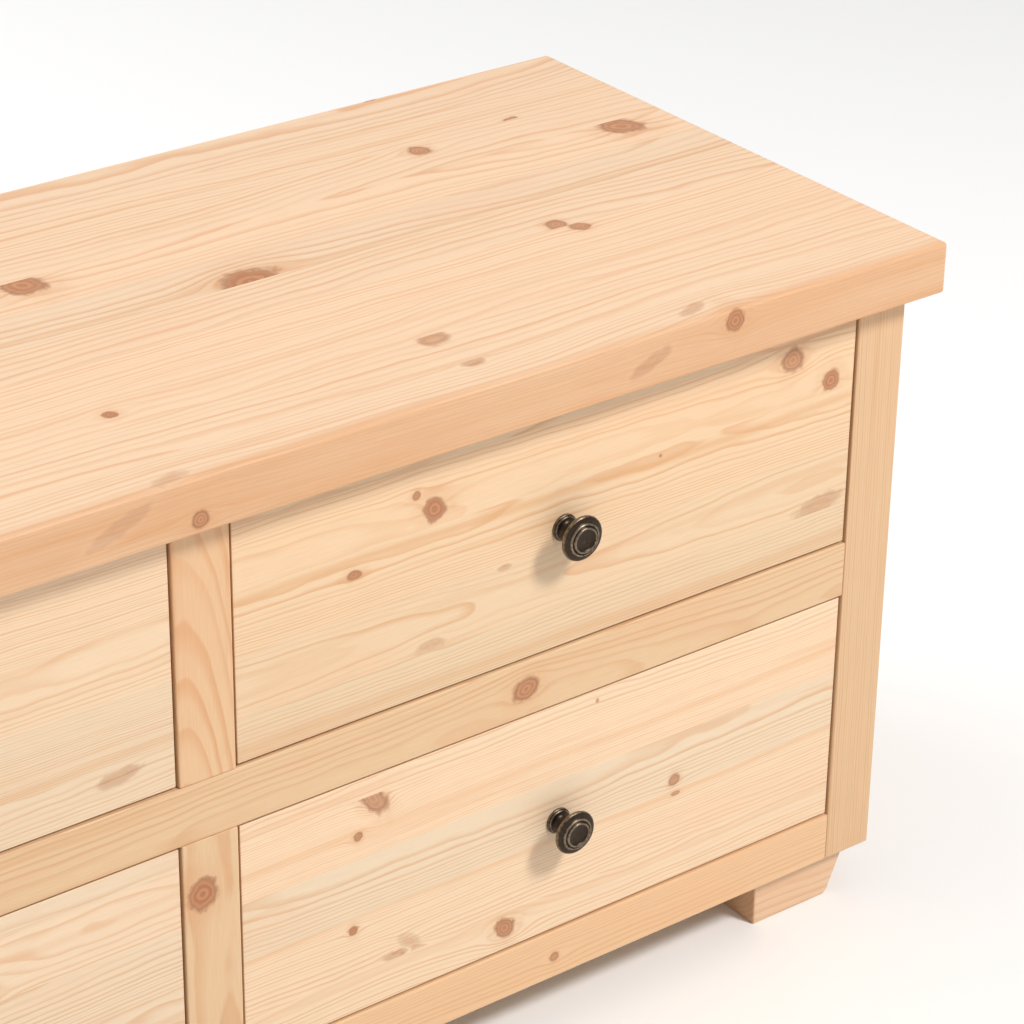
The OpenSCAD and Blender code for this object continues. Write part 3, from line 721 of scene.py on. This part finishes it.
front_grain = {
    "upper_right": dict(
        knots=[(164, 145, 0, 9.5, 0.95, (0.25, -0.3, 1)), (149, 160, 0, 3.5, 0.85, (0.3, 0, 1)),
               (97, 115, 0, 3.5, 0.9, (0.8, 0, 0.5)), (487, 169, 0, 10.5, 0.8, (0.3, 0, 1)),
               (526, 142, 0, 8.5, 0.95, (0.1, 0.2, 1)), (521, 40, 0, 8, 0.35, (0.9, 0.1, 0.3)),
               (161, 38, 0, 6, 0.25, (0.8, 0, 0.4)), (364, 127, 0, 1.2, 0.9, (0, 0, 1)),
               (225, 80, 0, 3, 0.3, (0.85, 0, 0.4))],
        streaks=[(124, 6, 0.55), (8, 9, 0.45), (66, 4, 0.25)], first=-15, seed=5.0,
        # This tint darkens the front partly for its own colour and partly as painted shade, for the
        # top's overhang shadow and the light falling off to the right, spread evenly over the front.
        tint=(0.92, 0.89, 0.83, 1)),
    "lower_right": dict(
        knots=[(111, 177, 0, 8.5, 0.75, (0.75, -0.85, 0.6)), (98, 150, 0, 4, 0.85, (0, 0, 1)),
               (93, 72, 0, 4, 0.95, (0.1, 0, 1)), (389, 90, 0, 5.5, 0.75, (0.1, 0.2, 1)),
               (391, 77, 0, 2, 0.7, (0.85, 0, 0.4)), (229, 19, 0, 8.5, 0.9, (0.35, -0.4, 0.9)),
               (130, 36, 0, 4, 0.4, (0.9, 0, 0.3)), (142, 43, 0, 6, 0.25, (0.7, -0.5, 0.4)),
               (312, 187, 0, 1.5, 0.6, (0, 0.6, 1))],
        streaks=[(152, 6, 0.4), (80, 4, 0.4), (26, 5, 0.3)], first=-16, seed=6.0,
        tint=(0.97, 0.98, 0.98, 1)),
    "upper_left": dict(
        knots=[(505, 24, 0, 6, 0.35, (0.9, 0.1, 0.3)), (350, 60, 0, 8, 0.9, (0.3, 0.2, 1)),
               (120, 150, 0, 10, 0.9, (0.4, 0.1, 1)), (230, 110, 0, 4, 0.85, (0.2, 0, 1))],
        streaks=[(40, 6, 0.45), (130, 5, 0.3)], first=-15, seed=7.0,
        tint=(0.94, 0.94, 0.93, 1)),
    "lower_left": dict(
        knots=[(390, 140, 0, 9, 0.9, (0.4, -0.2, 1)), (150, 60, 0, 5, 0.9, (0.2, 0.1, 1)),
               (60, 165, 0, 8, 0.85, (0.3, 0, 1)), (270, 25, 0, 4, 0.9, (0.1, 0, 1))],
        streaks=[(60, 5, 0.4), (160, 5, 0.3)], first=-16, seed=8.0,
        tint=(0.96, 0.97, 0.98, 1)),
}
for number, (drawer, grain) in enumerate(front_grain.items()):
    body = "drawer_" + drawer
    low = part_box(drawer + "_front")[0]
    eased_board(drawer + "_front", drawer + "_front_planed", body,
                pine("waxed_pine_front_" + drawer, low, 0, 2, stave=top_stave, spread=150, spacing=1.75,
                     wander=14, pith=(0, 70), contrast=0.66, **grain), 0.7)
    box_pieces = {"side_left": (1, 2), "side_right": (1, 2), "back": (0, 2)}
    for order, (part, (grain_axis, across)) in enumerate(box_pieces.items()):
        board = drawer + "_" + part
        eased_board(board, board + "_planed", body,
                    plain_pine(board, grain_axis, across, 100 + 10 * number + order, 3, 6.0, spacing=3.2,
                               pith=(20, 50), contrast=0.4), 0.8)
    base = drawer + "_base"
    eased_board(base, base + "_cut", body,
                plywood("birch_plywood_" + drawer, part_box(base)[0], 0, 1), 0.3)


# ---------------------------------------------------------------- knobs
# Cast and turned bronze knobs with a rosette, a thin neck and a ringed head. The
# metal is blackened, and worn bright again on its rims and beads.

knob_profile = [
    (0, 0, 0), (10.3, 0, 0), (10.5, 0.25, 0.4), (10.5, 1.2, 0.9), (10.2, 1.75, 0.6), (9.75, 1.95, 0),
    (9.6, 2.2, 0), (9.5, 2.7, 0.8), (9.1, 3.2, 0.7), (8.2, 3.55, 0.1), (7.0, 4.1, 0), (5.9, 5.0, 0),
    (5.15, 6.4, 0.1), (4.8, 8.5, 0.2), (4.8, 10.0, 0.2), (5.2, 11.4, 0.1), (6.2, 12.7, 0),
    (8.2, 14.3, 0.1), (11.0, 16.0, 0.2), (13.9, 17.5, 0.3), (16.2, 18.7, 0.5), (17.2, 19.6, 0.7),
    (17.5, 20.5, 1.0), (17.3, 21.4, 0.9), (16.7, 22.1, 0.5), (15.8, 22.6, 0.1), (14.6, 22.9, 0),
    (13.6, 23.05, 0), (13.0, 23.35, 0.2), (12.75, 24.0, 0.8), (12.4, 24.6, 1.0), (11.8, 24.85, 0.9),
    (11.2, 24.6, 0.5), (10.8, 24.2, 0), (10.5, 24.2, 0), (10.25, 24.9, 0.5), (9.9, 25.6, 0.9),
    (9.3, 26.0, 1.0), (8.7, 25.85, 0.7), (8.2, 25.2, 0.1), (7.6, 24.7, 0), (5.5, 24.25, 0.15),
    (3.0, 24.0, 0.25), (0, 23.9, 0.3),
]
knob_turns = 96


def antique_bronze():
    finish = bpy.data.materials.new("antique_bronze")
    finish.use_nodes = True
    tree = finish.node_tree
    surface = tree.nodes["Principled BSDF"]
    surface.inputs["Metallic"].default_value = 0.9
    place = tree.nodes.new("ShaderNodeTexCoord").outputs["Object"]
    wear = node(tree, "ShaderNodeAttribute", attribute_name="wear").node.outputs["Fac"]
    patchy = noise(tree, scaled(tree, place, 420.0), 4.0, 0.6)
    fine = noise(tree, scaled(tree, place, 2600.0), 3.0, 0.6)
    rubbed = calc(tree, "MULTIPLY", wear, calc(tree, "MULTIPLY_ADD", patchy, 1.6, -0.15))
    rubbed = node(tree, "ShaderNodeMapRange", rubbed, 0.2, 1.05, 0.0, 1.0)
    dark = blend(tree, patchy, (0.020, 0.015, 0.012, 1), (0.062, 0.042, 0.027, 1))
    dark = blend(tree, ramp(tree, fine, 0.5, 0.75, 0.0, 0.5), dark, (0.11, 0.072, 0.045, 1))
    tree.links.new(blend(tree, rubbed, dark, (0.40, 0.31, 0.21, 1)), surface.inputs["Base Color"])
    tree.links.new(calc(tree, "MULTIPLY_ADD", fine, 0.22, 0.26), surface.inputs["Roughness"])
    bump = tree.nodes.new("ShaderNodeBump")
    bump.inputs["Strength"].default_value = 0.35
    bump.inputs["Distance"].default_value = 0.0001
    tree.links.new(fine, bump.inputs["Height"])
    tree.links.new(bump.outputs["Normal"], surface.inputs["Normal"])
    return finish


def turned_knob(name, centre, back_y, material):
    """The knob spun round an axis that runs out from the drawer front."""
    points, worn, faces = [], [], []
    for radius, out, wear in knob_profile:
        count = 1 if radius == 0 else knob_turns
        for step in range(count):
            angle = 2 * math.pi * step / knob_turns
            points.append((centre.x + radius * MM * math.cos(angle), back_y - out * MM,
                           centre.z + radius * MM * math.sin(angle)))
            worn.append(wear)
    for ring in range(len(knob_profile) - 1):
        start = 0 if ring == 0 else 1 + (ring - 1) * knob_turns
        following = 1 + ring * knob_turns
        for step in range(knob_turns):
            after = (step + 1) % knob_turns
            if ring == 0:
                faces.append((0, following + after, following + step))
            elif ring == len(knob_profile) - 2:
                faces.append((following, start + step, start + after))
            else:
                faces.append((start + step, start + after, following + after, following + step))
    mesh = bpy.data.meshes.new(name)
    mesh.from_pydata(points, [], faces)
    mesh.attributes.new("wear", "FLOAT", "POINT").data.foreach_set("value", worn)
    made = bmesh.new()
    made.from_mesh(mesh)
    bmesh.ops.recalc_face_normals(made, faces=made.faces)
    for face in made.faces:
        face.smooth = True
    made.to_mesh(mesh)
    made.free()
    mesh.materials.append(material)
    piece = bpy.data.objects.new(name, mesh)
    bpy.context.scene.collection.objects.link(piece)
    return piece


bronze = antique_bronze()
for drawer in front_grain:
    low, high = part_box(drawer + "_knob")
    knob = turned_knob(drawer + "_knob_turned", (low + high) / 2, high.y, bronze)
    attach(knob, "drawer_" + drawer)
    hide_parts(drawer + "_knob")


# ---------------------------------------------------------------- screws
# Zinc-plated steel screws with crossed slots: up through the rails into the top,
# up through the feet, through the back panel, and from inside into each knob.

def zinc_steel():
    finish = bpy.data.materials.new("zinc_steel")
    finish.use_nodes = True
    tree = finish.node_tree
    surface = tree.nodes["Principled BSDF"]
    surface.inputs["Metallic"].default_value = 1.0
    place = tree.nodes.new("ShaderNodeTexCoord").outputs["Object"]
    cloudy = noise(tree, scaled(tree, place, 500.0), 4.0, 0.6)
    tree.links.new(blend(tree, cloudy, (0.72, 0.72, 0.70, 1), (0.52, 0.51, 0.48, 1)),
                   surface.inputs["Base Color"])
    tree.links.new(calc(tree, "MULTIPLY_ADD", cloudy, 0.2, 0.24), surface.inputs["Roughness"])
    return finish


def screw_tree():
    """Sets a screw at each point of a mesh: a flat head with a crossed slot, and its shank."""
    tree = bpy.data.node_groups.new("screws", "GeometryNodeTree")
    tree.interface.new_socket("Geometry", in_out="OUTPUT", socket_type="NodeSocketGeometry")
    sockets = {}
    for label, kind in (("Geometry", "NodeSocketGeometry"), ("Head Radius", FLOAT),
                        ("Head Height", FLOAT), ("Shank Radius", FLOAT), ("Length", FLOAT),
                        ("Turn", VECTOR),
                        ("Metal", "NodeSocketMaterial")):
        sockets[label] = tree.interface.new_socket(label, in_out="INPUT", socket_type=kind).identifier
    given = {s.name: s for s in tree.nodes.new("NodeGroupInput").outputs}

    def add(kind, links, **settings):
        made = tree.nodes.new(kind)
        for setting, value in settings.items():
            setattr(made, setting, value)
        for label, value in links.items():
            if isinstance(value, bpy.types.NodeSocket):
                tree.links.new(value, made.inputs[label])
            else:
                made.inputs[label].default_value = value
        return made.outputs[0]

    def maths(operation, a, b):
        return add("ShaderNodeMath", {0: a, 1: b}, operation=operation)

    def lifted(shape, height):
        return add("GeometryNodeTransform", {
            "Geometry": shape, "Translation": add("ShaderNodeCombineXYZ", {"Z": height})})

    head = add("GeometryNodeMeshCylinder", {
        "Vertices": 28, "Side Segments": 1, "Radius": given["Head Radius"],
        "Depth": given["Head Height"]})
    slots = []
    for turn in (0, 90):
        bar = add("GeometryNodeMeshCube", {"Size": add("ShaderNodeCombineXYZ", {
            "X": maths("MULTIPLY", given["Head Radius"], 1.1),
            "Y": maths("MULTIPLY", given["Head Radius"], 0.22),
            "Z": given["Head Height"]})})
        slots.append(add("GeometryNodeTransform", {
            "Geometry": bar, "Rotation": (0, 0, math.radians(turn))}))
    for bar in slots:
        cut = tree.nodes.new("GeometryNodeMeshBoolean")
        cut.operation = "DIFFERENCE"
        cut.solver = "EXACT"
        tree.links.new(head, cut.inputs["Mesh 1"])
        tree.links.new(lifted(bar, maths("MULTIPLY", given["Head Height"], 0.5)), cut.inputs["Mesh 2"])
        head = cut.outputs["Mesh"]
    shank = add("GeometryNodeMeshCylinder", {
        "Vertices": 16, "Side Segments": 1, "Radius": given["Shank Radius"], "Depth": given["Length"]})
    join = tree.nodes.new("GeometryNodeJoinGeometry")
    tree.links.new(lifted(head, maths("MULTIPLY", given["Head Height"], -0.5)), join.inputs[0])
    overall = maths("ADD", given["Length"], given["Head Height"])
    tree.links.new(lifted(shank, maths("MULTIPLY", overall, -0.5)), join.inputs[0])
    placed = add("GeometryNodeInstanceOnPoints", {
        "Points": given["Geometry"], "Instance": join.outputs[0], "Rotation": given["Turn"]})
    real = add("GeometryNodeRealizeInstances", {"Geometry": placed})
    painted = add("GeometryNodeSetMaterial", {"Geometry": real, "Material": given["Metal"]})
    tree.links.new(painted, tree.nodes.new("NodeGroupOutput").inputs[0])
    return tree, sockets


zinc = zinc_steel()
screws, screw_socket = screw_tree()
DOWNWARD, BACKWARD = (math.pi, 0, 0), (-math.pi / 2, 0, 0)


def set_screws(node_name, body, heads, head_radius, head_height, shank_radius, turn):
    """heads says which way the heads point from the middle of each screw."""
    places, length = [], 0
    for low, high in islands(node_name):
        half = (high - low) / 2
        places.append((low + high) / 2 + Vector(h * c for h, c in zip(half, heads)))
        length = 2 * half.dot(Vector(map(abs, heads)))
    mesh = bpy.data.meshes.new(node_name + "_points")
    mesh.from_pydata(places, [], [])
    points = bpy.data.objects.new(node_name + "_points", mesh)
    bpy.context.scene.collection.objects.link(points)
    driving = points.modifiers.new("screws", "NODES")
    driving.node_group = screws
    for label, value in (("Head Radius", head_radius * MM), ("Head Height", head_height * MM),
                         ("Shank Radius", shank_radius * MM), ("Length", length - head_height * MM),
                         ("Turn", turn), ("Metal", zinc)):
        driving[screw_socket[label]] = value
    bpy.context.view_layer.update()
    mesh = bpy.data.meshes.new_from_object(points.evaluated_get(bpy.context.evaluated_depsgraph_get()))
    bpy.data.objects.remove(points)
    piece = bpy.data.objects.new(node_name + "_driven", mesh)
    bpy.context.scene.collection.objects.link(piece)
    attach(piece, body)
    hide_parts(node_name)


set_screws("top_screws", "carcase", (0, 0, -1), 4, 2, 2, DOWNWARD)
set_screws("foot_screws", "carcase", (0, 0, -1), 3.9, 3, 2, DOWNWARD)
set_screws("back_screws", "carcase", (0, 1, 0), 3, 2, 1.5, BACKWARD)
for drawer in front_grain:
    set_screws(drawer + "_knob_screw", "drawer_" + drawer, (0, 1, 0), 4, 2.4, 2, BACKWARD)
